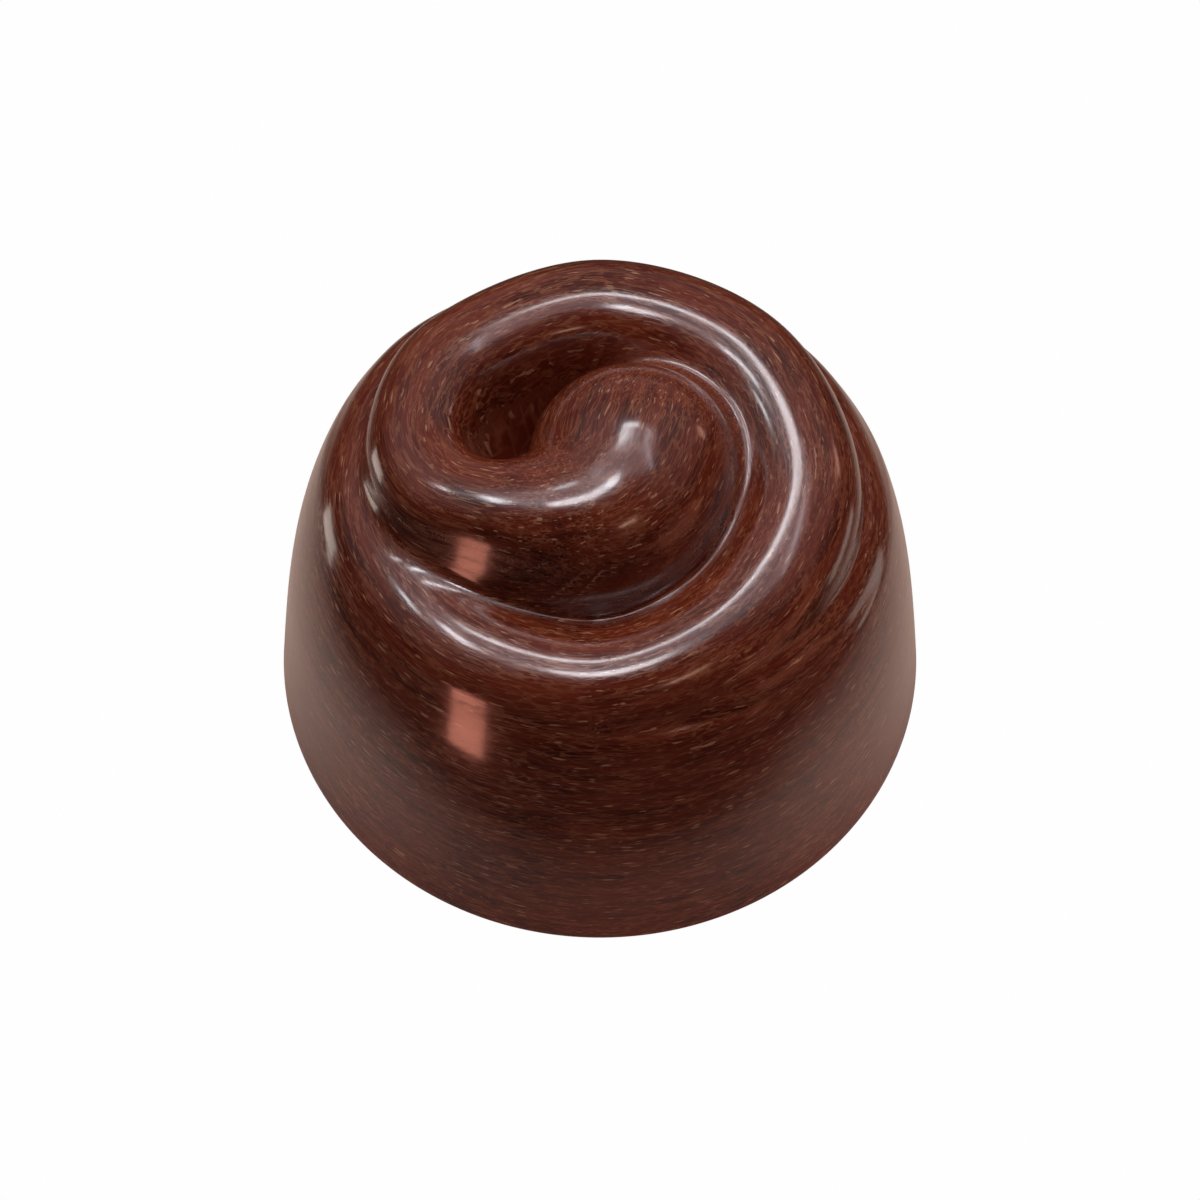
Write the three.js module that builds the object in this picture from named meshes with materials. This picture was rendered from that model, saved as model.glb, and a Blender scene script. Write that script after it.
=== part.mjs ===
import * as THREE from 'three';

// A moulded dark chocolate praline: a round, slightly tapering wall under a dome,
// with one thick rope of chocolate coiled on the dome and curling into a round head.
// Lengths are in millimetres and angles in degrees. The base stands on z = 0.

// The dome that the wall and the coil fill
const baseRadius = 15;
const domeHeight = 20.5;
const wallDraft = 3.8;
const domeRoundnessAcross = 3.75;
const domeRoundnessUp = 3.7;
const baseEdgeRadius = 0.35;

// The front of the shoulder sits lower than the back, by this share of its height
const frontSink = 0.2;

// The wall ends under the first lap, where the dome leans in by about this much
const wallEndLean = 17.9;
const wallEndLeanFront = 4;
const wallEndLeanLeft = 2.75;

// Depth of the coil's hollows below the dome
const hollowDepth = 7.8;

// The rope's laps from the front right, where the groove starts, up to the left of the head:
// angle round the axis, lean of the dome where the rope touches it, radius of the rope
const laps = [
  [-90, 22.5, 2.9],
  [-45, 19, 3.0],
  [0, 14, 3.1],
  [45, 13.5, 3.0],
  [90, 15, 2.9],
  [135, 17.5, 2.9],
  [180, 19.5, 3.0],
  [225, 21.3, 3.0],
  [270, 23, 2.9],
  [315, 28, 2.9],
  [360, 32.5, 2.9],
  [405, 37, 2.85],
  [450, 40, 2.8],
  [495, 43, 2.6],
];

// The end of the rope, in front of the pit and round into the head: x, y, top height, radius
const ropeEnd = [
  [-8.25, 2.1, 18.8, 2.4],
  [-7.3, -0.8, 19.1, 2.45],
  [-5.0, -2.1, 19.5, 2.45],
  [-2.4, -2.3, 19.8, 3.1],
  [-0.2, -1.6, 20.05, 4.2],
  [1.0, -0.5, 20.4, 4.8],
  [1.5, 0.9, 20.6, 4.95],
];

// The foot that the rope's end swells into, below each of its last six points: x, y, height, radius
const ropeFoot = [
  [-7.5, -1.0, 14.4, 3.0],
  [-5.2, -2.5, 14.3, 3.2],
  [-2.6, -2.6, 14.3, 3.7],
  [-0.2, -1.8, 14.5, 4.5],
  [1.0, -0.8, 14.7, 4.9],
  [1.5, 0.6, 14.8, 4.95],
];
const footLevels = 4;

// Fineness of the surface
const stepsPerSpan = 16;
const sectors = 92;
const coilRings = 42;
const wallRings = 6;
const coilStartHeight = 9.5;
const edgeRings = 3;
const profileSteps = 4000;

// Each smoothing pass mixes a point's own offset with those of its four neighbours
const smoothingPasses = 2;
const ownShare = 0.5;
const neighbourShare = 0.125;

const radians = THREE.MathUtils.degToRad;

function domeProfile() {
  const points = [];
  const end = Math.PI / 2;
  for (let i = 0; i <= profileSteps; i += 1) {
    const t = (end * i) / profileSteps;
    const z = domeHeight * Math.sin(t) ** (2 / domeRoundnessUp);
    const taper = baseRadius - Math.tan(radians(wallDraft)) * z;
    const rho = i === profileSteps ? 0 : taper * Math.cos(t) ** (2 / domeRoundnessAcross);
    points.push({ rho, z, length: 0, lean: 0 });
  }
  for (let i = 1; i < points.length; i += 1) {
    const step = Math.hypot(points[i].rho - points[i - 1].rho, points[i].z - points[i - 1].z);
    points[i].length = points[i - 1].length + step;
  }
  for (let i = 0; i < points.length; i += 1) {
    const before = points[Math.max(i - 1, 0)];
    const after = points[Math.min(i + 1, points.length - 1)];
    points[i].lean = Math.atan2(before.rho - after.rho, after.z - before.z);
  }
  points[0].lean = radians(wallDraft);
  points[profileSteps].lean = end;
  return points;
}

// The point of the profile where one of its values reaches the wanted one
function profilePoint(profile, key, wanted) {
  let low = 0;
  let high = profile.length - 1;
  while (high - low > 1) {
    const middle = Math.floor((low + high) / 2);
    if (profile[middle][key] < wanted) low = middle;
    else high = middle;
  }
  const a = profile[low];
  const b = profile[high];
  const share = THREE.MathUtils.clamp((wanted - a[key]) / (b[key] - a[key] || 1), 0, 1);
  const mixed = {};
  for (const name of Object.keys(a)) mixed[name] = a[name] + share * (b[name] - a[name]);
  return mixed;
}

// How far the shoulder lies below the dome, measured square to the dome
function sinkDepth(angle, point) {
  const share = frontSink * ((1 - Math.sin(angle)) / 2) ** 2;
  return share * point.z * Math.sin(point.lean);
}

// A smooth curve through the stations, as balls [x, y, z, radius] along it
function ballsAlong(stations) {
  const last = stations.length - 1;
  const before = stations[0].map((value, k) => 2 * value - stations[1][k]);
  const after = stations[last].map((value, k) => 2 * value - stations[last - 1][k]);
  const knots = [before, ...stations, after];
  const balls = [];
  for (let i = 1; i <= last; i += 1) {
    const [a, b, c, d] = knots.slice(i - 1, i + 3);
    for (let step = 0; step < stepsPerSpan; step += 1) {
      const t = step / stepsPerSpan;
      balls.push(b.map((value, k) => {
        const slope = c[k] - a[k];
        const bend = 2 * a[k] - 5 * value + 4 * c[k] - d[k];
        const twist = 3 * value - a[k] - 3 * c[k] + d[k];
        return 0.5 * (2 * value + slope * t + bend * t ** 2 + twist * t ** 3);
      }));
    }
  }
  balls.push(stations[last]);
  return balls;
}

function lapStation(profile, [angleDegrees, leanDegrees, radius]) {
  const angle = radians(angleDegrees);
  const lean = radians(leanDegrees);
  const touch = profilePoint(profile, 'lean', lean);
  const depth = radius + sinkDepth(angle, touch);
  const rho = touch.rho - depth * Math.cos(lean);
  return [rho * Math.cos(angle), rho * Math.sin(angle), touch.z - depth * Math.sin(lean), radius];
}

function ropeBalls(profile) {
  const endStations = ropeEnd.map(([x, y, top, radius]) => [x, y, top - radius, radius]);
  const rope = [...laps.map((lap) => lapStation(profile, lap)), ...endStations];
  const balls = ballsAlong(rope);
  const [strandStart, ...upper] = endStations;
  for (let level = 1; level <= footLevels; level += 1) {
    const share = level / footLevels;
    const lowered = upper.map((station, i) => (
      station.map((value, k) => value + share * (ropeFoot[i][k] - value))
    ));
    balls.push(...ballsAlong([strandStart, ...lowered]));
  }
  return balls;
}

// Height of the surface over one point of the dome, square to the dome: negative is below it
function surfaceOffset(balls, point, angle) {
  const leanAt = wallEndLean - wallEndLeanFront * Math.sin(angle) - wallEndLeanLeft * Math.cos(angle);
  const onWall = point.lean < radians(leanAt);
  let offset = onWall ? -sinkDepth(angle, point) : -hollowDepth;
  const out = Math.cos(point.lean);
  const nx = out * Math.cos(angle);
  const ny = out * Math.sin(angle);
  const nz = Math.sin(point.lean);
  const px = point.rho * Math.cos(angle);
  const py = point.rho * Math.sin(angle);
  for (const [x, y, z, radius] of balls) {
    const dx = x - px;
    const dy = y - py;
    const dz = z - point.z;
    const along = dx * nx + dy * ny + dz * nz;
    const gap = radius ** 2 - (dx ** 2 + dy ** 2 + dz ** 2 - along ** 2);
    if (gap > 0) offset = Math.max(offset, along + Math.sqrt(gap));
  }
  return offset;
}

// Rings of the dome, from just beside the top down to the start of the base edge
function domeRings(profile) {
  const top = profile[profile.length - 1].length;
  const coilFoot = profilePoint(profile, 'z', coilStartHeight).length;
  const wallFoot = profilePoint(profile, 'z', baseEdgeRadius).length;
  const rings = [];
  for (let i = 1; i <= coilRings; i += 1) {
    rings.push(profilePoint(profile, 'length', top + ((coilFoot - top) * i) / coilRings));
  }
  for (let i = 1; i <= wallRings; i += 1) {
    rings.push(profilePoint(profile, 'length', coilFoot + ((wallFoot - coilFoot) * i) / wallRings));
  }
  return rings;
}

// Rounds the bottom of the grooves by averaging each offset with its neighbours
function smoothed(offsets) {
  return offsets.map((ring, i) => {
    if (i === offsets.length - 1) return ring;
    return ring.map((value, j) => {
      const inner = i > 0 ? offsets[i - 1][j] : value;
      const outer = offsets[i + 1][j];
      const left = ring[(j + sectors - 1) % sectors];
      const right = ring[(j + 1) % sectors];
      return ownShare * value + neighbourShare * (inner + outer + left + right);
    });
  });
}

function pralineGeometry() {
  const profile = domeProfile();
  const balls = ropeBalls(profile);
  const rings = domeRings(profile);
  const angles = Array.from({ length: sectors }, (_, j) => (2 * Math.PI * j) / sectors);
  let offsets = rings.map((point) => angles.map((angle) => surfaceOffset(balls, point, angle)));
  for (let pass = 0; pass < smoothingPasses; pass += 1) offsets = smoothed(offsets);

  const crown = offsets[0].reduce((sum, value) => sum + value, 0) / sectors;
  const positions = [0, 0, domeHeight + crown];
  rings.forEach((point, i) => {
    angles.forEach((angle, j) => {
      const rho = point.rho + offsets[i][j] * Math.cos(point.lean);
      const z = point.z + offsets[i][j] * Math.sin(point.lean);
      positions.push(rho * Math.cos(angle), rho * Math.sin(angle), z);
    });
  });
  const wallFootRadius = rings[rings.length - 1].rho;
  for (let i = 1; i <= edgeRings; i += 1) {
    const turn = (Math.PI / 2) * (i / edgeRings);
    const rho = wallFootRadius - baseEdgeRadius * (1 - Math.cos(turn));
    const z = baseEdgeRadius * (1 - Math.sin(turn));
    for (const angle of angles) positions.push(rho * Math.cos(angle), rho * Math.sin(angle), z);
  }
  const baseCentre = positions.length / 3;
  positions.push(0, 0, 0);

  const ringCount = rings.length + edgeRings;
  const vertex = (i, j) => 1 + i * sectors + (j % sectors);
  const faces = [];
  for (let j = 0; j < sectors; j += 1) {
    faces.push(0, vertex(0, j), vertex(0, j + 1));
    faces.push(baseCentre, vertex(ringCount - 1, j + 1), vertex(ringCount - 1, j));
    for (let i = 0; i < ringCount - 1; i += 1) {
      faces.push(vertex(i, j), vertex(i + 1, j), vertex(i + 1, j + 1));
      faces.push(vertex(i, j), vertex(i + 1, j + 1), vertex(i, j + 1));
    }
  }
  const geometry = new THREE.BufferGeometry();
  geometry.setAttribute('position', new THREE.Float32BufferAttribute(positions, 3));
  geometry.setIndex(faces);
  geometry.computeVertexNormals();
  return geometry;
}

const darkChocolate = new THREE.MeshStandardMaterial({
  name: 'dark_chocolate',
  color: 0x4a2820,
  roughness: 0.3,
  metalness: 0,
});

const praline = new THREE.Mesh(pralineGeometry(), darkChocolate);
praline.name = 'praline';

const part = new THREE.Group();
part.name = 'chocolate_praline';
part.add(praline);

export default part;
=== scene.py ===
import math

import bpy
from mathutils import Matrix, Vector


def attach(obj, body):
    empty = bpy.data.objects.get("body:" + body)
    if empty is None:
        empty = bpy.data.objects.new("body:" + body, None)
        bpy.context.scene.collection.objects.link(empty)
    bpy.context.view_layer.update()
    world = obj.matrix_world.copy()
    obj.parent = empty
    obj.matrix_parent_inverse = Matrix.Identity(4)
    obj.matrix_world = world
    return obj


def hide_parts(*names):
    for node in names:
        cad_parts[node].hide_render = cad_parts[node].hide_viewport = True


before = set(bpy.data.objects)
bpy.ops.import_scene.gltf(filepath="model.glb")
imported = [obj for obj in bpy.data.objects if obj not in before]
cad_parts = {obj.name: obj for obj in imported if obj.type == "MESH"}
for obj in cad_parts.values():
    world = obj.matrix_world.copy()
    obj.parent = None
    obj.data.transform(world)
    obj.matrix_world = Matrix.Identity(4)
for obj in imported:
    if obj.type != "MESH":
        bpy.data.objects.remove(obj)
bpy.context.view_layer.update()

# ---- The praline ----
# One moulded sweet of dark chocolate: a round, slightly tapering wall under a dome, and on
# the dome a thick rope of chocolate that winds inwards and ends in a round head by a small pit.
# It is cast upside down in a polished mould, so the top is glossy and the scraped base is dull.

# Sizes in millimetres, angles in degrees
BASE_RADIUS = 15
DOME_HEIGHT = 20.5
WALL_DRAFT = 3.8
ROUNDNESS_ACROSS = 3.75
ROUNDNESS_UP = 3.7
BASE_EDGE_RADIUS = 0.35

# The front of the shoulder sits lower than the back, by this share of its height
FRONT_SINK = 0.2

# The wall ends under the first lap, where the dome leans in by about this much
WALL_END_LEAN = 17.9
WALL_END_LEAN_FRONT = 4
WALL_END_LEAN_LEFT = 2.75

# Depth of the coil's hollows below the dome, and the depths between which a groove is filled
HOLLOW_DEPTH = 7.8
GROOVE_STARTS = 1.0
GROOVE_FULL = 2.2

# The rope's laps: angle round the axis, lean of the dome where the rope touches it, rope radius
LAPS = [
    (-90, 22.5, 2.9),
    (-45, 19, 3.0),
    (0, 14, 3.1),
    (45, 13.5, 3.0),
    (90, 15, 2.9),
    (135, 17.5, 2.9),
    (180, 19.5, 3.0),
    (225, 21.3, 3.0),
    (270, 23, 2.9),
    (315, 28, 2.9),
    (360, 32.5, 2.9),
    (405, 37, 2.85),
    (450, 40, 2.8),
    (495, 43, 2.6),
]

# The rope's end, in front of the pit and round into the head: x, y, top height, radius
ROPE_END = [
    (-8.25, 2.1, 18.8, 2.4),
    (-7.3, -0.8, 19.1, 2.45),
    (-5.0, -2.1, 19.5, 2.45),
    (-2.4, -2.3, 19.8, 3.1),
    (-0.2, -1.6, 20.05, 4.2),
    (1.0, -0.5, 20.4, 4.8),
    (1.5, 0.9, 20.6, 4.95),
]

# The foot that the rope's end swells into, below its last six points: x, y, height, radius
ROPE_FOOT = [
    (-7.5, -1.0, 14.4, 3.0),
    (-5.2, -2.5, 14.3, 3.2),
    (-2.6, -2.6, 14.3, 3.7),
    (-0.2, -1.8, 14.5, 4.5),
    (1.0, -0.8, 14.7, 4.9),
    (1.5, 0.6, 14.8, 4.95),
]
FOOT_LEVELS = 4

# Fineness of the surface
STEPS_PER_SPAN = 14
SECTORS = 400
RINGS = 220
PROFILE_NUDGE = 0.0005
SEARCH_STEPS = 50


def dome_touch(lean):
    """Radius and height of the dome's profile where it leans in by this angle, in radians."""
    def profile(t):
        z = DOME_HEIGHT * math.sin(t) ** (2 / ROUNDNESS_UP)
        taper = BASE_RADIUS - math.tan(math.radians(WALL_DRAFT)) * z
        return taper * math.cos(t) ** (2 / ROUNDNESS_ACROSS), z

    low, high = 2 * PROFILE_NUDGE, math.pi / 2 - 2 * PROFILE_NUDGE
    for _ in range(SEARCH_STEPS):
        middle = (low + high) / 2
        (r0, z0), (r1, z1) = profile(middle - PROFILE_NUDGE), profile(middle + PROFILE_NUDGE)
        if math.atan2(r0 - r1, z1 - z0) < lean:
            low = middle
        else:
            high = middle
    return profile(low)


def lap_station(angle, lean, radius):
    """A point of the rope's centre line, one radius inside the dome, and the radius."""
    angle, lean = math.radians(angle), math.radians(lean)
    rho, z = dome_touch(lean)
    sink = FRONT_SINK * ((1 - math.sin(angle)) / 2) ** 2 * z * math.sin(lean)
    rho -= (radius + sink) * math.cos(lean)
    z -= (radius + sink) * math.sin(lean)
    return rho * math.cos(angle), rho * math.sin(angle), z, radius


end_stations = [(x, y, top - radius, radius) for x, y, top, radius in ROPE_END]
rope = [lap_station(*lap) for lap in LAPS] + end_stations
rope_lengths = [0.0]
for before, after in zip(rope, rope[1:]):
    rope_lengths.append(rope_lengths[-1] + math.dist(before[:3], after[:3]))
strands = [[station + (length,) for station, length in zip(rope, rope_lengths)]]
rope_end = strands[0][-len(ROPE_END):]
for level in range(1, FOOT_LEVELS + 1):
    share = level / FOOT_LEVELS
    strands.append(rope_end[:1] + [
        tuple(a + share * (b - a) for a, b in zip(upper, foot)) + upper[4:]
        for upper, foot in zip(rope_end[1:], ROPE_FOOT)
    ])

# The mesh that goes into the tree holds only the strands' centre lines, radii and lengths
rope_mesh = bpy.data.meshes.new("rope_centre_lines")
line_points, line_edges = [], []
for strand in strands:
    first = len(line_points)
    line_points += strand
    line_edges += [(first + i, first + i + 1) for i in range(len(strand) - 1)]
rope_mesh.from_pydata([point[:3] for point in line_points], line_edges, [])
for name, column in (("rope_radius", 3), ("rope_length", 4)):
    rope_value = rope_mesh.attributes.new(name, "FLOAT", "POINT")
    rope_value.data.foreach_set("value", [point[column] for point in line_points])


def add(tree, kind, inputs=(), **settings):
    """Adds a node with its settings and its links or plain values, and gives its outputs."""
    node = tree.nodes.new(kind)
    for name, value in settings.items():
        setattr(node, name, value)
    for key, value in inputs.items() if isinstance(inputs, dict) else enumerate(inputs):
        if isinstance(value, bpy.types.NodeSocket):
            tree.links.new(value, node.inputs[key])
        else:
            node.inputs[key].default_value = value
    return node.outputs


swirl = bpy.data.node_groups.new("moulded_swirl", "GeometryNodeTree")
swirl.interface.new_socket("Rope", in_out="INPUT", socket_type="NodeSocketGeometry")
swirl_sizes = {
    "Base Radius": BASE_RADIUS,
    "Dome Height": DOME_HEIGHT,
    "Wall Draft": math.tan(math.radians(WALL_DRAFT)),
    "Roundness Across": ROUNDNESS_ACROSS,
    "Roundness Up": ROUNDNESS_UP,
    "Base Edge Radius": BASE_EDGE_RADIUS,
    "Front Sink": FRONT_SINK,
    "Hollow Depth": HOLLOW_DEPTH,
}
swirl_counts = {"Sectors": SECTORS, "Rings": RINGS, "Smoothing": 6, "Groove Fill": 70}
for name in swirl_sizes:
    swirl.interface.new_socket(name, in_out="INPUT", socket_type="NodeSocketFloat")
for name in swirl_counts:
    swirl.interface.new_socket(name, in_out="INPUT", socket_type="NodeSocketInt")
swirl.interface.new_socket("Chocolate", in_out="INPUT", socket_type="NodeSocketMaterial")
swirl.interface.new_socket("Praline", in_out="OUTPUT", socket_type="NodeSocketGeometry")
given = add(swirl, "NodeGroupInput")
position = add(swirl, "GeometryNodeInputPosition")[0]

# The dome's profile, drawn once as a curve in the x-z plane from the base up to the top
PROFILE_POINTS = 3000
line = add(swirl, "GeometryNodeCurvePrimitiveLine", {"End": (0, 0, 1)})["Curve"]
fine_line = add(swirl, "GeometryNodeResampleCurve", {
    "Curve": line, "Count": PROFILE_POINTS})["Curve"]
turn = add(swirl, "ShaderNodeMath", (
    add(swirl, "GeometryNodeInputIndex")[0], math.pi / 2 / (PROFILE_POINTS - 1),
), operation="MULTIPLY")[0]
sine = add(swirl, "ShaderNodeMath", (turn,), operation="SINE")[0]
cosine = add(swirl, "ShaderNodeMath", (turn,), operation="COSINE")[0]
cosine = add(swirl, "ShaderNodeMath", (cosine, 0.0), operation="MAXIMUM")[0]
power_up = add(swirl, "ShaderNodeMath", (2.0, given["Roundness Up"]), operation="DIVIDE")[0]
power_across = add(swirl, "ShaderNodeMath", (
    2.0, given["Roundness Across"]), operation="DIVIDE")[0]
up = add(swirl, "ShaderNodeMath", (sine, power_up), operation="POWER")[0]
across = add(swirl, "ShaderNodeMath", (cosine, power_across), operation="POWER")[0]
height = add(swirl, "ShaderNodeMath", (given["Dome Height"], up), operation="MULTIPLY")[0]
draft = add(swirl, "ShaderNodeMath", (given["Wall Draft"], height), operation="MULTIPLY")[0]
taper = add(swirl, "ShaderNodeMath", (given["Base Radius"], draft), operation="SUBTRACT")[0]
half_width = add(swirl, "ShaderNodeMath", (taper, across), operation="MULTIPLY")[0]
profile = add(swirl, "GeometryNodeSetPosition", {
    "Geometry": fine_line,
    "Position": add(swirl, "ShaderNodeCombineXYZ", {"X": half_width, "Z": height})[0]})[0]
profile_length = add(swirl, "GeometryNodeCurveLength", (profile,))[0]

# A closed drum whose rings are laid along the profile: the four lowest round the base edge,
# the next ones up the wall, and the rest over the coil to just beside the top
EDGE_RINGS = 4
WALL_RINGS = 26
WALL_SHARE = 0.29
TOP_GAP_SHARE = 0.003
drum = add(swirl, "GeometryNodeMeshCylinder", {
    "Vertices": given["Sectors"], "Side Segments": given["Rings"], "Radius": 1.0, "Depth": 1.0,
}, fill_type="TRIANGLE_FAN")["Mesh"]
drum_x, drum_y, drum_z = add(swirl, "ShaderNodeSeparateXYZ", (position,))
drum_share = add(swirl, "ShaderNodeMath", (drum_z, 0.5), operation="ADD")[0]
ring = add(swirl, "ShaderNodeMath", (drum_share, given["Rings"]), operation="MULTIPLY")[0]
angle = add(swirl, "ShaderNodeMath", (drum_y, drum_x), operation="ARCTAN2")[0]
cos_angle = add(swirl, "ShaderNodeMath", (angle,), operation="COSINE")[0]
sin_angle = add(swirl, "ShaderNodeMath", (angle,), operation="SINE")[0]
drum_flat = add(swirl, "ShaderNodeCombineXYZ", (drum_x, drum_y))[0]
from_axis = add(swirl, "ShaderNodeVectorMath", (drum_flat,), operation="LENGTH")["Value"]
at_centre = add(swirl, "ShaderNodeMath", (from_axis, 0.5), operation="LESS_THAN")[0]
off_centre = add(swirl, "ShaderNodeMath", (1.0, at_centre), operation="SUBTRACT")[0]
wall_start = add(swirl, "ShaderNodeMath", (
    given["Base Edge Radius"], profile_length), operation="DIVIDE")[0]
wall_part = add(swirl, "ShaderNodeMapRange", {
    "Value": ring, "From Min": EDGE_RINGS, "From Max": WALL_RINGS,
    "To Min": wall_start, "To Max": WALL_SHARE})[0]
coil_part = add(swirl, "ShaderNodeMapRange", {
    "Value": ring, "From Min": WALL_RINGS, "From Max": given["Rings"],
    "To Min": 0.0, "To Max": 1.0 - WALL_SHARE - TOP_GAP_SHARE})[0]
ring_share = add(swirl, "ShaderNodeMath", (wall_part, coil_part), operation="ADD")[0]
above_wall = add(swirl, "ShaderNodeMath", (ring, WALL_RINGS), operation="GREATER_THAN")[0]
at_top = add(swirl, "ShaderNodeMath", (at_centre, above_wall), operation="MULTIPLY")[0]
share_up = add(swirl, "ShaderNodeMath", (ring_share, at_top), operation="MAXIMUM")[0]
on_profile = add(swirl, "GeometryNodeSampleCurve", {
    "Curves": profile, "Factor": share_up}, mode="FACTOR", use_all_curves=True)
profile_x, _, profile_z = add(swirl, "ShaderNodeSeparateXYZ", (on_profile["Position"],))
profile_rise_x, _, out_rho = add(swirl, "ShaderNodeSeparateXYZ", (on_profile["Tangent"],))
out_z = add(swirl, "ShaderNodeMath", (profile_rise_x, -1.0), operation="MULTIPLY")[0]
rho = add(swirl, "ShaderNodeMath", (profile_x, off_centre), operation="MULTIPLY")[0]


def round_the_axis(rho, z):
    """A point or direction of the profile, turned to this sector."""
    x = add(swirl, "ShaderNodeMath", (rho, cos_angle), operation="MULTIPLY")[0]
    y = add(swirl, "ShaderNodeMath", (rho, sin_angle), operation="MULTIPLY")[0]
    return add(swirl, "ShaderNodeCombineXYZ", (x, y, z))[0]


start_point = round_the_axis(rho, profile_z)
start_out = round_the_axis(out_rho, out_z)

# Before the rope is laid, the skin is the sunk wall below the first lap and the hollow above
behind = add(swirl, "ShaderNodeMath", (1.0, sin_angle), operation="SUBTRACT")[0]
half_behind = add(swirl, "ShaderNodeMath", (behind, 0.5), operation="MULTIPLY")[0]
frontness = add(swirl, "ShaderNodeMath", (half_behind, 2.0), operation="POWER")[0]
sink_share = add(swirl, "ShaderNodeMath", (
    given["Front Sink"], frontness), operation="MULTIPLY")[0]
sink_height = add(swirl, "ShaderNodeMath", (profile_z, out_z), operation="MULTIPLY")[0]
sink = add(swirl, "ShaderNodeMath", (sink_share, sink_height), operation="MULTIPLY")[0]
end_front = add(swirl, "ShaderNodeMath", (
    sin_angle, -WALL_END_LEAN_FRONT), operation="MULTIPLY")[0]
end_side = add(swirl, "ShaderNodeMath", (
    cos_angle, -WALL_END_LEAN_LEFT, WALL_END_LEAN), operation="MULTIPLY_ADD")[0]
wall_end = add(swirl, "ShaderNodeMath", (end_front, end_side), operation="ADD")[0]
wall_end = add(swirl, "ShaderNodeMath", (wall_end,), operation="RADIANS")[0]
lean = add(swirl, "ShaderNodeMath", (out_z, out_rho), operation="ARCTAN2")[0]
start_offset = add(swirl, "GeometryNodeSwitch", {
    "Switch": add(swirl, "ShaderNodeMath", (lean, wall_end), operation="LESS_THAN")[0],
    "False": add(swirl, "ShaderNodeMath", (
        given["Hollow Depth"], -1.0), operation="MULTIPLY")[0],
    "True": add(swirl, "ShaderNodeMath", (sink, -1.0), operation="MULTIPLY")[0],
}, input_type="FLOAT")[0]

# What the loop over the rope's balls reads and grows is stored on the drum. The flow runs
# along the rope or round the wall, shortened that way so that patterns on it come out long.
FLOW_STRETCH = 0.12
start_flow = add(swirl, "ShaderNodeVectorMath", (
    start_point, (FLOW_STRETCH, FLOW_STRETCH, 1)), operation="MULTIPLY")[0]
body = drum
on_drum = {}
for name, value, data_type in (
    ("dome_point", start_point, "FLOAT_VECTOR"),
    ("dome_out", start_out, "FLOAT_VECTOR"),
    ("offset", start_offset, "FLOAT"),
    ("ring", ring, "FLOAT"),
    ("flow", start_flow, "FLOAT_VECTOR"),
):
    body = add(swirl, "GeometryNodeStoreNamedAttribute", {
        "Geometry": body, "Name": name, "Value": value}, data_type=data_type, domain="POINT")[0]
    on_drum[name] = add(swirl, "GeometryNodeInputNamedAttribute", {
        "Name": name}, data_type=data_type)[0]

# The rope as balls along smooth curves through the stations
rope_curve = add(swirl, "GeometryNodeMeshToCurve", (given["Rope"],))[0]
rope_smooth = add(swirl, "GeometryNodeCurveSplineType", (
    rope_curve,), spline_type="CATMULL_ROM")[0]
rope_steps = add(swirl, "GeometryNodeSetSplineResolution", {
    0: rope_smooth, "Resolution": STEPS_PER_SPAN})[0]
rope_points = add(swirl, "GeometryNodeCurveToPoints", {"Curve": rope_steps}, mode="EVALUATED")
rope_balls = add(swirl, "GeometryNodeStoreNamedAttribute", {
    "Geometry": rope_points["Points"], "Name": "rope_way", "Value": rope_points["Tangent"],
}, data_type="FLOAT_VECTOR", domain="POINT")[0]
ball_count = add(swirl, "GeometryNodeAttributeDomainSize", (
    rope_balls,), component="POINTCLOUD")["Point Count"]

# The loop lays one ball a turn against the skin, which keeps whichever lies furthest out
lay_start = swirl.nodes.new("GeometryNodeRepeatInput")
lay_end = swirl.nodes.new("GeometryNodeRepeatOutput")
lay_start.pair_with_output(lay_end)
lay_end.repeat_items.new("INT", "Ball")
swirl.links.new(ball_count, lay_start.inputs["Iterations"])
swirl.links.new(body, lay_start.inputs["Geometry"])
this_ball = lay_start.outputs["Ball"]
ball = {}
for name, data_type in (
    ("place", "FLOAT_VECTOR"), ("rope_way", "FLOAT_VECTOR"),
    ("rope_radius", "FLOAT"), ("rope_length", "FLOAT"),
):
    value = position if name == "place" else add(swirl, "GeometryNodeInputNamedAttribute", {
        "Name": name}, data_type=data_type)[0]
    ball[name] = add(swirl, "GeometryNodeSampleIndex", {
        "Geometry": rope_balls, "Value": value, "Index": this_ball,
    }, data_type=data_type, domain="POINT")[0]

# Where a line out of the dome leaves the ball; a line that misses it is set far inside
MISSED = 100.0
towards = add(swirl, "ShaderNodeVectorMath", (
    ball["place"], on_drum["dome_point"]), operation="SUBTRACT")[0]
along = add(swirl, "ShaderNodeVectorMath", (
    towards, on_drum["dome_out"]), operation="DOT_PRODUCT")["Value"]
reach = add(swirl, "ShaderNodeVectorMath", (towards, towards), operation="DOT_PRODUCT")["Value"]
radius_squared = add(swirl, "ShaderNodeMath", (
    ball["rope_radius"], ball["rope_radius"]), operation="MULTIPLY")[0]
along_squared = add(swirl, "ShaderNodeMath", (along, along), operation="MULTIPLY")[0]
gap = add(swirl, "ShaderNodeMath", (radius_squared, reach), operation="SUBTRACT")[0]
gap = add(swirl, "ShaderNodeMath", (gap, along_squared), operation="ADD")[0]
hit_gap = add(swirl, "ShaderNodeMath", (gap, 0.0), operation="MAXIMUM")[0]
half_chord = add(swirl, "ShaderNodeMath", (hit_gap,), operation="SQRT")[0]
leaves_at = add(swirl, "ShaderNodeMath", (along, half_chord), operation="ADD")[0]
misses = add(swirl, "ShaderNodeMath", (gap, 0.0), operation="LESS_THAN")[0]
far_inside = add(swirl, "ShaderNodeMath", (misses, MISSED), operation="MULTIPLY")[0]
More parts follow.
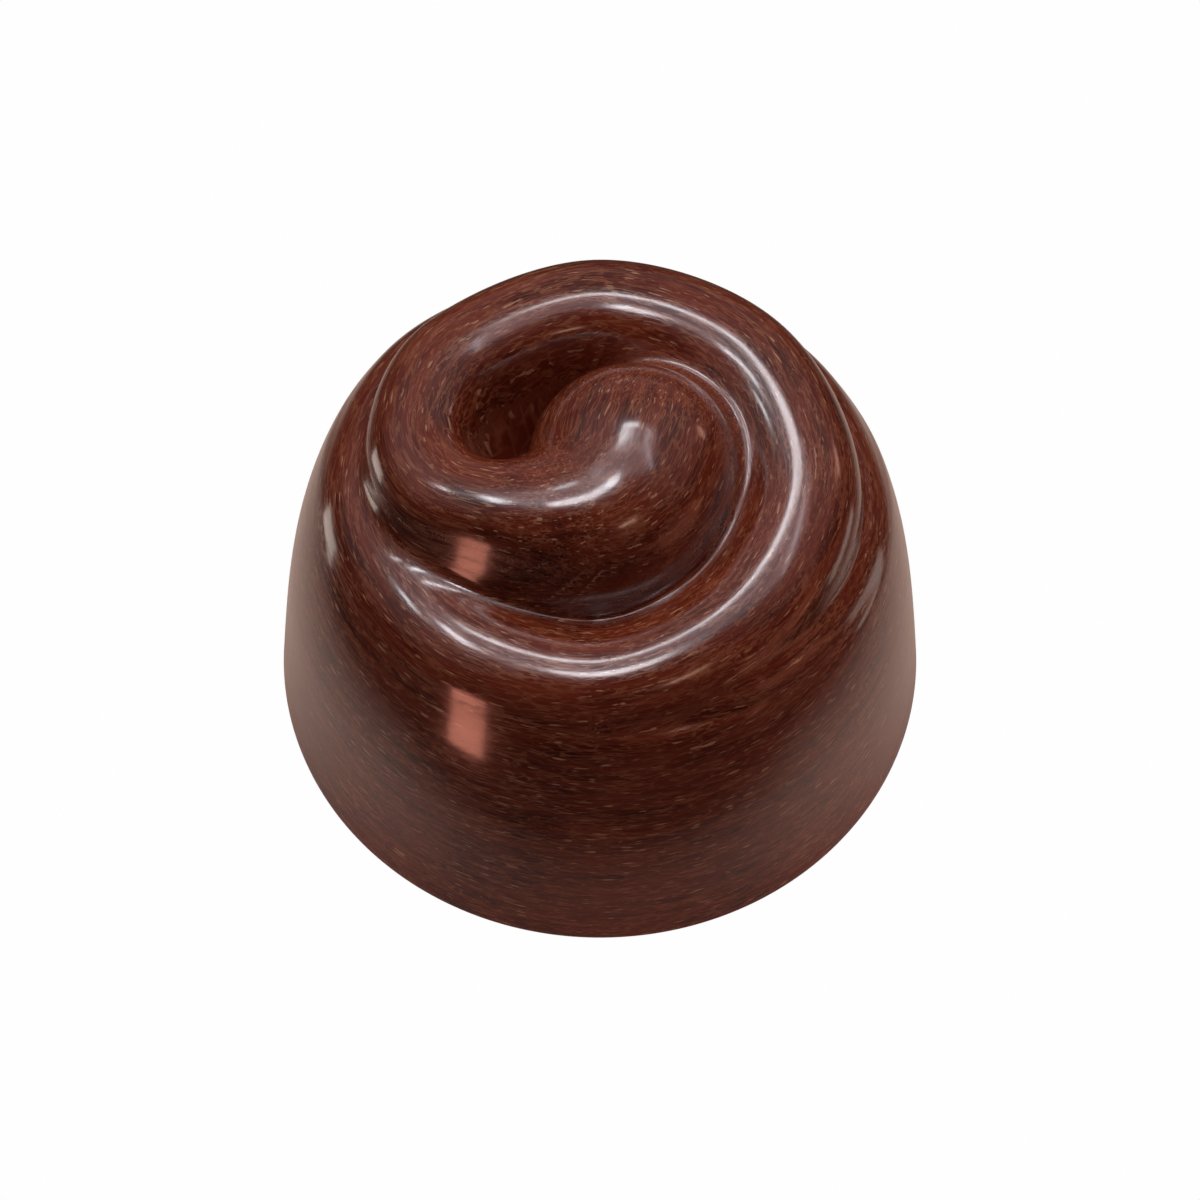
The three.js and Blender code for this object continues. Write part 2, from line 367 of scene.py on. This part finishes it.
touch = add(swirl, "ShaderNodeMath", (leaves_at, far_inside), operation="SUBTRACT")[0]
outermost = add(swirl, "ShaderNodeMath", (
    touch, on_drum["offset"]), operation="GREATER_THAN")[0]
new_offset = add(swirl, "ShaderNodeMath", (
    on_drum["offset"], touch), operation="MAXIMUM")[0]

# Where the ball lies furthest out, the flow is its length along the rope, then across and up
touch_each_way = add(swirl, "ShaderNodeCombineXYZ", (touch, touch, touch))[0]
touch_point = add(swirl, "ShaderNodeVectorMath", (
    on_drum["dome_out"], touch_each_way), operation="MULTIPLY")[0]
from_ball = add(swirl, "ShaderNodeVectorMath", (touch_point, towards), operation="SUBTRACT")[0]
ball_side = add(swirl, "ShaderNodeVectorMath", (
    ball["rope_way"], (0, 0, 1)), operation="CROSS_PRODUCT")[0]
ball_side = add(swirl, "ShaderNodeVectorMath", (ball_side,), operation="NORMALIZE")[0]
ahead, aside, above = (
    add(swirl, "ShaderNodeVectorMath", (from_ball, way), operation="DOT_PRODUCT")["Value"]
    for way in (ball["rope_way"], ball_side, (0, 0, 1)))
length_here = add(swirl, "ShaderNodeMath", (ball["rope_length"], ahead), operation="ADD")[0]
length_here = add(swirl, "ShaderNodeMath", (
    length_here, FLOW_STRETCH), operation="MULTIPLY")[0]
new_flow = add(swirl, "GeometryNodeSwitch", {
    "Switch": outermost, "False": on_drum["flow"],
    "True": add(swirl, "ShaderNodeCombineXYZ", (length_here, aside, above))[0],
}, input_type="VECTOR")[0]
flowing = add(swirl, "GeometryNodeStoreNamedAttribute", {
    "Geometry": lay_start.outputs["Geometry"], "Name": "flow", "Value": new_flow,
}, data_type="FLOAT_VECTOR", domain="POINT")[0]
grown = add(swirl, "GeometryNodeStoreNamedAttribute", {
    "Geometry": flowing, "Name": "offset", "Value": new_offset,
}, data_type="FLOAT", domain="POINT")[0]
next_ball = add(swirl, "FunctionNodeIntegerMath", (this_ball, 1), operation="ADD")[0]
swirl.links.new(grown, lay_end.inputs["Geometry"])
swirl.links.new(next_ball, lay_end.inputs["Ball"])

# The mould's deep grooves have round bottoms: the offsets averaged over a wide patch lie above
# the true ones only in a groove, so that much fills it there, and a last pass smooths the join
true_skin, wide_skin = (
    add(swirl, "GeometryNodeBlurAttribute", {
        "Value": on_drum["offset"], "Iterations": given[passes]}, data_type="FLOAT")[0]
    for passes in ("Smoothing", "Groove Fill"))
depth_share = add(swirl, "ShaderNodeMapRange", {
    "Value": true_skin, "From Min": -GROOVE_STARTS, "From Max": -GROOVE_FULL,
}, interpolation_type="SMOOTHSTEP")[0]
fill = add(swirl, "ShaderNodeMath", (wide_skin, true_skin), operation="SUBTRACT")[0]
fill = add(swirl, "ShaderNodeMath", (fill, 0.0), operation="MAXIMUM")[0]
filled = add(swirl, "ShaderNodeMath", (
    fill, depth_share, true_skin), operation="MULTIPLY_ADD")[0]
filled_body = add(swirl, "GeometryNodeStoreNamedAttribute", {
    "Geometry": lay_end.outputs["Geometry"], "Name": "offset", "Value": filled,
}, data_type="FLOAT", domain="POINT")[0]
rounded = add(swirl, "GeometryNodeBlurAttribute", {
    "Value": on_drum["offset"], "Iterations": given["Smoothing"]}, data_type="FLOAT")[0]
rounded_each_way = add(swirl, "ShaderNodeCombineXYZ", (rounded, rounded, rounded))[0]
skin_point = add(swirl, "ShaderNodeVectorMath", (
    on_drum["dome_out"], rounded_each_way, on_drum["dome_point"]), operation="MULTIPLY_ADD")[0]

# The base edge: a quarter round that ends on the flat base
edge_share = add(swirl, "ShaderNodeMapRange", {
    "Value": on_drum["ring"], "From Min": 0.0, "From Max": EDGE_RINGS,
    "To Min": 1.0, "To Max": 0.0})[0]
edge_turn = add(swirl, "ShaderNodeMath", (edge_share, math.pi / 2), operation="MULTIPLY")[0]
edge_cosine = add(swirl, "ShaderNodeMath", (edge_turn,), operation="COSINE")[0]
edge_sine = add(swirl, "ShaderNodeMath", (edge_turn,), operation="SINE")[0]
in_share = add(swirl, "ShaderNodeMath", (edge_cosine, 1.0), operation="SUBTRACT")[0]
up_share = add(swirl, "ShaderNodeMath", (1.0, edge_sine), operation="SUBTRACT")[0]
edge_in, edge_up = (
    add(swirl, "ShaderNodeMath", (given["Base Edge Radius"], part), operation="MULTIPLY")[0]
    for part in (in_share, up_share))
foot_place = add(swirl, "ShaderNodeVectorMath", (
    on_drum["dome_point"], (1, 1, 0)), operation="MULTIPLY")[0]
foot_out = add(swirl, "ShaderNodeVectorMath", (foot_place,), operation="NORMALIZE")[0]
foot_in = add(swirl, "ShaderNodeVectorMath", {
    0: foot_out, "Scale": edge_in}, operation="SCALE")[0]
edge_flat = add(swirl, "ShaderNodeVectorMath", (foot_place, foot_in), operation="ADD")[0]
edge_point = add(swirl, "ShaderNodeVectorMath", (
    edge_flat, add(swirl, "ShaderNodeCombineXYZ", {"Z": edge_up})[0]), operation="ADD")[0]
on_edge = add(swirl, "ShaderNodeMath", (
    on_drum["ring"], EDGE_RINGS - 0.5), operation="LESS_THAN")[0]
place = add(swirl, "GeometryNodeSwitch", {
    "Switch": on_edge, "False": skin_point, "True": edge_point}, input_type="VECTOR")[0]

# From millimetres to metres, and out of the tree as one smooth mesh of chocolate
METRES = 0.001
shaped = add(swirl, "GeometryNodeSetPosition", {"Geometry": filled_body, "Position": place})[0]
small = add(swirl, "GeometryNodeTransform", {
    "Geometry": shaped, "Scale": (METRES, METRES, METRES)})[0]
smooth = add(swirl, "GeometryNodeSetShadeSmooth", {"Geometry": small})[0]
real = add(swirl, "GeometryNodeRealizeInstances", {"Geometry": smooth})[0]
dressed = add(swirl, "GeometryNodeSetMaterial", {
    "Geometry": real, "Material": given["Chocolate"]})[0]
add(swirl, "NodeGroupOutput", (dressed,))


def linear(hex_colour):
    """An sRGB hex colour as linear red, green, blue and alpha."""
    parts = [int(hex_colour[i:i + 2], 16) / 255 for i in (1, 3, 5)]
    return tuple(
        p / 12.92 if p <= 0.04045 else ((p + 0.055) / 1.055) ** 2.4 for p in parts) + (1.0,)


# Tempered dark chocolate, cast in a polished mould: a deep red-brown under a clear gloss, with
# fine pale hairs and flecks of cocoa butter that run along the rope and round the wall and dull
# the gloss a little. The base, scraped flat while soft, is matt. The real hairs are thinner;
# these are as wide as they need to be to show.
HAIR_SPACING_MM = 0.18
HAIR_LENGTH_MM = 1.5
HAIR_SWAY_MM = 0.5
HAIR_THINNESS = 0.06
BAND_WIDTH_MM = 0.5
BAND_LENGTH_MM = 9 * BAND_WIDTH_MM
BREAK_WIDTH_MM = BAND_WIDTH_MM / 2
BREAK_LENGTH_MM = 3 * BAND_WIDTH_MM
CLOUD_MM = 4.0
FLECK_LENGTH_MM = 0.8
FLECK_WIDTH_MM = 0.11
WOBBLES_PER_MM = 1.4
SCRAPED_FROM_MM = 0.12
SCRAPED_FULL_MM = 0.02
CHOCOLATE_TONES = ((0.36, "#51170c"), (0.50, "#762a19"), (0.64, "#873722"))
HAIR_COLOUR = "#b66d4b"
FLECK_COLOUR = "#d9a27e"
BAND_SHARE = 0.6
GLOSSY_ROUGHNESS = 0.17
HAIR_ROUGHNESS = 0.30
SCRAPED_ROUGHNESS = 0.35
CLEAR_GLOSS = 0.65

chocolate = bpy.data.materials.new("tempered_dark_chocolate_moulded")
chocolate.use_nodes = True
shade = chocolate.node_tree
shade.nodes.clear()
flow = add(shade, "ShaderNodeAttribute", attribute_name="flow")["Vector"]
place_mm = add(shade, "ShaderNodeVectorMath", (
    add(shade, "ShaderNodeTexCoord")["Object"], (1000, 1000, 1000)), operation="MULTIPLY")[0]
wobble = add(shade, "ShaderNodeTexNoise", {
    "Vector": flow, "Scale": WOBBLES_PER_MM, "Detail": 1.0})["Color"]


def streaks(along_flow, length_mm, width_mm, start, detail):
    """A noise of long streaks along the flow."""
    across_flow = 1 / width_mm
    stretched = add(shade, "ShaderNodeMapping", {
        "Vector": along_flow, "Location": start,
        "Scale": (1 / (length_mm * FLOW_STRETCH), across_flow, across_flow)})[0]
    return add(shade, "ShaderNodeTexNoise", {
        "Vector": stretched, "Scale": 1.0, "Detail": detail})[0]


def hair_lines(sway, start):
    """Thin lines along the flow, where a noise of streaks passes its middle value."""
    swayed = add(shade, "ShaderNodeVectorMath", (
        wobble, (0.0, sway, sway), flow), operation="MULTIPLY_ADD")[0]
    noise = streaks(swayed, HAIR_LENGTH_MM, HAIR_SPACING_MM, start, 1.0)
    from_middle = add(shade, "ShaderNodeMath", (noise, 0.5), operation="SUBTRACT")[0]
    from_middle = add(shade, "ShaderNodeMath", (from_middle,), operation="ABSOLUTE")[0]
    return add(shade, "ShaderNodeMapRange", {
        "Value": from_middle, "From Min": 0.0, "From Max": HAIR_THINNESS,
        "To Min": 1.0, "To Max": 0.0})[0]


# The brown: broad streaks along the flow, mixed with soft clouds
bands = streaks(flow, BAND_LENGTH_MM, BAND_WIDTH_MM, (0, 0, 0), 3.0)
clouds = add(shade, "ShaderNodeTexNoise", {
    "Vector": place_mm, "Scale": 1 / CLOUD_MM, "Detail": 3.0})[0]
cloud_tone = add(shade, "ShaderNodeMath", (clouds, 1 - BAND_SHARE), operation="MULTIPLY")[0]
tone = add(shade, "ShaderNodeMath", (
    bands, BAND_SHARE, cloud_tone), operation="MULTIPLY_ADD")[0]
brown = add(shade, "ShaderNodeValToRGB", {"Fac": tone})[0]
brown_ramp = brown.node.color_ramp
brown_ramp.elements.new(0.5)
for element, (tone_place, hex_colour) in zip(brown_ramp.elements, CHOCOLATE_TONES):
    element.position = tone_place
    element.color = linear(hex_colour)

# The hairs, two sets that sway opposite ways, broken up along their length, and the flecks
all_hairs = add(shade, "ShaderNodeMath", (
    hair_lines(HAIR_SWAY_MM, (0, 0, 0)), hair_lines(-HAIR_SWAY_MM, (7, 3, 5)),
), operation="MAXIMUM")[0]
breaks = streaks(flow, BREAK_LENGTH_MM, BREAK_WIDTH_MM, (5, 1, 8), 2.0)
unbroken = add(shade, "ShaderNodeMapRange", {
    "Value": breaks, "From Min": 0.34, "From Max": 0.60, "To Min": 0.12, "To Max": 0.72})[0]
hairs = add(shade, "ShaderNodeMath", (all_hairs, unbroken), operation="MULTIPLY")[0]
haired = add(shade, "ShaderNodeMix", {
    "Factor": hairs, 6: brown, 7: linear(HAIR_COLOUR)}, data_type="RGBA")[2]
flecks = add(shade, "ShaderNodeMapRange", {
    "Value": streaks(flow, FLECK_LENGTH_MM, FLECK_WIDTH_MM, (2, 9, 4), 0.0),
    "From Min": 0.72, "From Max": 0.80, "To Max": 0.7})[0]
flecked = add(shade, "ShaderNodeMix", {
    "Factor": flecks, 6: haired, 7: linear(FLECK_COLOUR)}, data_type="RGBA")[2]

# The gloss: duller on the hairs, and gone on the scraped base
scraped = add(shade, "ShaderNodeMapRange", {
    "Value": add(shade, "ShaderNodeSeparateXYZ", (place_mm,))["Z"],
    "From Min": SCRAPED_FROM_MM, "From Max": SCRAPED_FULL_MM})[0]
hair_roughness = add(shade, "ShaderNodeMapRange", {
    "Value": hairs, "To Min": GLOSSY_ROUGHNESS, "To Max": HAIR_ROUGHNESS})[0]
roughness = add(shade, "ShaderNodeMath", (
    scraped, SCRAPED_ROUGHNESS, hair_roughness), operation="MULTIPLY_ADD")[0]
coat = add(shade, "ShaderNodeMath", (
    scraped, -CLEAR_GLOSS, CLEAR_GLOSS), operation="MULTIPLY_ADD")[0]
grain = add(shade, "ShaderNodeBump", {"Height": hairs, "Strength": 0.3, "Distance": 0.00001})[0]
chocolate_skin = add(shade, "ShaderNodeBsdfPrincipled", {
    "Base Color": flecked, "Roughness": roughness, "IOR": 1.45, "Normal": grain,
    "Coat Weight": coat, "Coat Roughness": 0.12, "Coat IOR": 1.5})[0]
add(shade, "ShaderNodeOutputMaterial", {"Surface": chocolate_skin})

praline_rope = bpy.data.objects.new("praline_rope", rope_mesh)
bpy.context.scene.collection.objects.link(praline_rope)
grow = praline_rope.modifiers.new("swirl", "NODES")
grow.node_group = swirl
for item in swirl.interface.items_tree:
    if item.in_out == "INPUT":
        if item.name in swirl_sizes:
            grow[item.identifier] = float(swirl_sizes[item.name])
        elif item.name in swirl_counts:
            grow[item.identifier] = swirl_counts[item.name]
        elif item.name == "Chocolate":
            grow[item.identifier] = chocolate
grown_praline = praline_rope.evaluated_get(bpy.context.evaluated_depsgraph_get())
praline_mesh = bpy.data.meshes.new_from_object(grown_praline)
praline_mesh.name = "praline_swirl"
for name in ("dome_point", "dome_out", "offset", "ring"):
    praline_mesh.attributes.remove(praline_mesh.attributes[name])
praline_piece = bpy.data.objects.new("praline_swirl", praline_mesh)
bpy.context.scene.collection.objects.link(praline_piece)
bpy.data.objects.remove(praline_rope)
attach(praline_piece, "root")
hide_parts("praline")

# ---- The studio table ----
# A matt table that the praline stands on and mirrors in its wall, and on it a thin lit sheet
# that only the camera sees, because the picture's ground is cut out to plain white.
TABLE_HALF = 0.6
TABLE_HEIGHT = -0.0006
SHEET_HEIGHT = -0.00002


def table_top(name, height, material):
    """A square top of this height and material."""
    mesh = bpy.data.meshes.new(name)
    corners = [(x * TABLE_HALF, y * TABLE_HALF, height) for x, y in (
        (-1, -1), (1, -1), (1, 1), (-1, 1))]
    mesh.from_pydata(corners, [], [(0, 1, 2, 3)])
    mesh.materials.append(material)
    top = bpy.data.objects.new(name, mesh)
    bpy.context.scene.collection.objects.link(top)
    return top


# White card fading to a dark tone: a strip of card from left to right under the praline, pale
# for some centimetres round it. Beyond that it fades to a dark tone, which is painted shade on
# the table, so the wall mirrors white only at its sides and mirrors the painted shade in front
# and behind
CARD_MIDDLE_Y = 0.003
CARD_ROUND = (0.022, 0.045)
CARD_STRIP = (0.014, 0.029)
card_and_painted_shade = bpy.data.materials.new("white_card_and_painted_shade")
card_and_painted_shade.use_nodes = True
table_shade = card_and_painted_shade.node_tree
table_skin = table_shade.nodes["Principled BSDF"]
table_skin.inputs["Roughness"].default_value = 0.9
table_place = add(table_shade, "ShaderNodeTexCoord")["Object"]
from_middle = add(table_shade, "ShaderNodeVectorMath", (
    table_place, (0, CARD_MIDDLE_Y, 0)), operation="DISTANCE")["Value"]
table_y = add(table_shade, "ShaderNodeSeparateXYZ", (table_place,))["Y"]
from_strip = add(table_shade, "ShaderNodeMath", (
    table_y, CARD_MIDDLE_Y), operation="SUBTRACT")[0]
from_strip = add(table_shade, "ShaderNodeMath", (from_strip,), operation="ABSOLUTE")[0]
round_edge, strip_edge = (
    add(table_shade, "ShaderNodeMapRange", {
        "Value": distance, "From Min": starts, "From Max": ends,
    }, interpolation_type="SMOOTHSTEP")[0]
    for distance, (starts, ends) in ((from_middle, CARD_ROUND), (from_strip, CARD_STRIP)))
# Share of painted shade on the table: none on the pale card, full away from it
painted_shade_share = add(table_shade, "ShaderNodeMath", (round_edge, strip_edge), operation="MAXIMUM")[0]
card_tone = add(table_shade, "ShaderNodeValToRGB", {"Fac": painted_shade_share})[0]
# The pale card's tone, then the dark tone that paints the table's shade
for element, hex_colour in zip(card_tone.node.color_ramp.elements, ("#f4dccd", "#3c332c")):
    element.color = linear(hex_colour)
table_shade.links.new(card_tone, table_skin.inputs["Base Color"])
table_top("white_card", TABLE_HEIGHT, card_and_painted_shade)

# Plain white paper, lit from below, for the camera alone
lit_paper = bpy.data.materials.new("white_paper_lit_from_below")
lit_paper.use_nodes = True
lit_paper.node_tree.nodes.clear()
paper_light = add(lit_paper.node_tree, "ShaderNodeEmission", {"Color": linear("#fefefe")})[0]
add(lit_paper.node_tree, "ShaderNodeOutputMaterial", {"Surface": paper_light})
sheet = table_top("white_sheet", SHEET_HEIGHT, lit_paper)
sheet.visible_glossy = sheet.visible_diffuse = sheet.visible_shadow = False

# ---- The studio light ----
# A wide dim soft box overhead, with a key light behind it and a bounce from the table that only
# tint the chocolate. The gloss mirrors small bright windows and cards as lines and spots, in a
# room that is dark in front, where the photographer stands.
AIM = Vector((0, 0, 0.012))


def soft_box(name, direction, distance, width, depth, radiance, colour, turn=None):
    """A flat light of this size in metres and this brightness: level and turned, or aimed."""
    light = bpy.data.lights.new(name, "AREA")
    light.shape = "RECTANGLE"
    light.size, light.size_y = width, depth
    light.energy = radiance * math.pi * width * depth
    light.color = linear(colour)[:3]
    lamp = bpy.data.objects.new(name, light)
    away = Vector(direction).normalized()
    lamp.location = AIM + away * distance
    if turn is None:
        lamp.rotation_euler = away.to_track_quat("Z", "Y").to_euler()
    else:
        lamp.rotation_euler = (0, 0, math.radians(turn))
    lamp.visible_camera = False
    bpy.context.scene.collection.objects.link(lamp)
    return lamp


soft_box("overhead_box", (0.0, 0.14, 0.98), 0.40, 0.34, 0.17, 0.8, "#f4f4ff", turn=0)
soft_box("warm_card", (0.88, -0.46, 0.05), 0.15, 0.10, 0.04, 0.7, "#ff9a78")
tinting = (
    soft_box("back_key", (0.05, 0.50, 0.86), 0.40, 0.22, 0.18, 3.9, "#fff6ee"),
    soft_box("floor_bounce", (0, 0, -1), 0.0123, 0.16, 0.16, 0.33, "#ffe4d2"),
)
mirrored = (
    soft_box("front_window", (-0.06, -0.07, 0.99), 0.40, 0.062, 0.052, 18, "#fbfaff", turn=15),
    soft_box("tail_window", (-0.33, 0.07, 0.94), 0.40, 0.034, 0.075, 20, "#fbfaff", turn=15),
    soft_box("left_window", (-0.53, 0.14, 0.84), 0.40, 0.025, 0.04, 20, "#fbfaff", turn=0),
    soft_box("right_window", (0.35, 0.13, 0.93), 0.40, 0.15, 0.013, 7, "#f6f4ff", turn=-46),
    soft_box("back_window", (-0.03, 0.34, 0.94), 0.40, 0.10, 0.03, 17, "#fbfaff", turn=0),
    soft_box("pink_card", (-0.60, -0.80, -0.08), 0.045, 0.008, 0.015, 6.0, "#ffa088"),
    soft_box("left_card", (-0.97, 0.22, -0.13), 0.042, 0.010, 0.011, 2.6, "#fff0e4"),
    soft_box("right_card", (0.97, 0.06, -0.20), 0.045, 0.016, 0.006, 1.2, "#fff0e4"),
    soft_box("spot_card", (0.86, 0.44, 0.27), 0.20, 0.03, 0.02, 4.5, "#ffb8a6"),
    soft_box("warm_spot", (0.36, -0.66, 0.66), 0.30, 0.05, 0.016, 8.0, "#ffc8aa"),
)
for lamp in tinting:
    lamp.visible_glossy = False
for lamp in mirrored:
    lamp.visible_diffuse = False

# The room's walls glow softly round three directions: the direction, the cosines between which
# the glow grows, and its strength
ROOM_GLOWS = (
    ((0.05, 0.75, 0.65), 0.3, 0.95, 0.22),
    ((-0.6, 0.15, 0.75), 0.7, 1.0, 0.30),
    ((0.6, 0.2, 0.75), 0.7, 1.0, 0.20),
)
ROOM_GLOOM = 0.015
room = bpy.data.worlds.new("studio_room")
bpy.context.scene.world = room
room.use_nodes = True
air = room.node_tree
air.nodes.clear()
look = add(air, "ShaderNodeTexCoord")["Generated"]
brightness = ROOM_GLOOM
for direction, starts, full, strength in ROOM_GLOWS:
    facing = add(air, "ShaderNodeVectorMath", (
        look, tuple(Vector(direction).normalized())), operation="DOT_PRODUCT")["Value"]
    glow = add(air, "ShaderNodeMapRange", {
        "Value": facing, "From Min": starts, "From Max": full, "To Min": 0.0, "To Max": strength,
    }, interpolation_type="SMOOTHSTEP")[0]
    brightness = add(air, "ShaderNodeMath", (glow, brightness), operation="ADD")[0]
room_glow = add(air, "ShaderNodeBackground", {
    "Color": linear("#f3f1f6"), "Strength": brightness})[0]
add(air, "ShaderNodeOutputWorld", {"Surface": room_glow})

# ---- The camera ----
# It looks down on the praline's front from about 60 degrees and 300 mm away, as the photo does,
# and aims just above the table, so that the praline stands where it does in the photo.
CAMERA_ELEVATION = math.radians(60.2)
CAMERA_DISTANCE = 0.300
CAMERA_AIM_HEIGHT = 0.00552
PIXELS_PER_MM = 21.43
PICTURE_PIXELS = 1200
SENSOR_WIDTH = 36
camera_data = bpy.data.cameras.new("camera")
camera = bpy.data.objects.new("camera", camera_data)
bpy.context.scene.collection.objects.link(camera)
camera.location = (0, -CAMERA_DISTANCE * math.cos(CAMERA_ELEVATION),
                   CAMERA_AIM_HEIGHT + CAMERA_DISTANCE * math.sin(CAMERA_ELEVATION))
camera.rotation_euler = (math.pi / 2 - CAMERA_ELEVATION, 0, 0)
camera_data.sensor_width = SENSOR_WIDTH
camera_data.lens = SENSOR_WIDTH * PIXELS_PER_MM * CAMERA_DISTANCE * 1000 / PICTURE_PIXELS
bpy.context.scene.camera = camera
bpy.context.scene.view_settings.view_transform = "Standard"
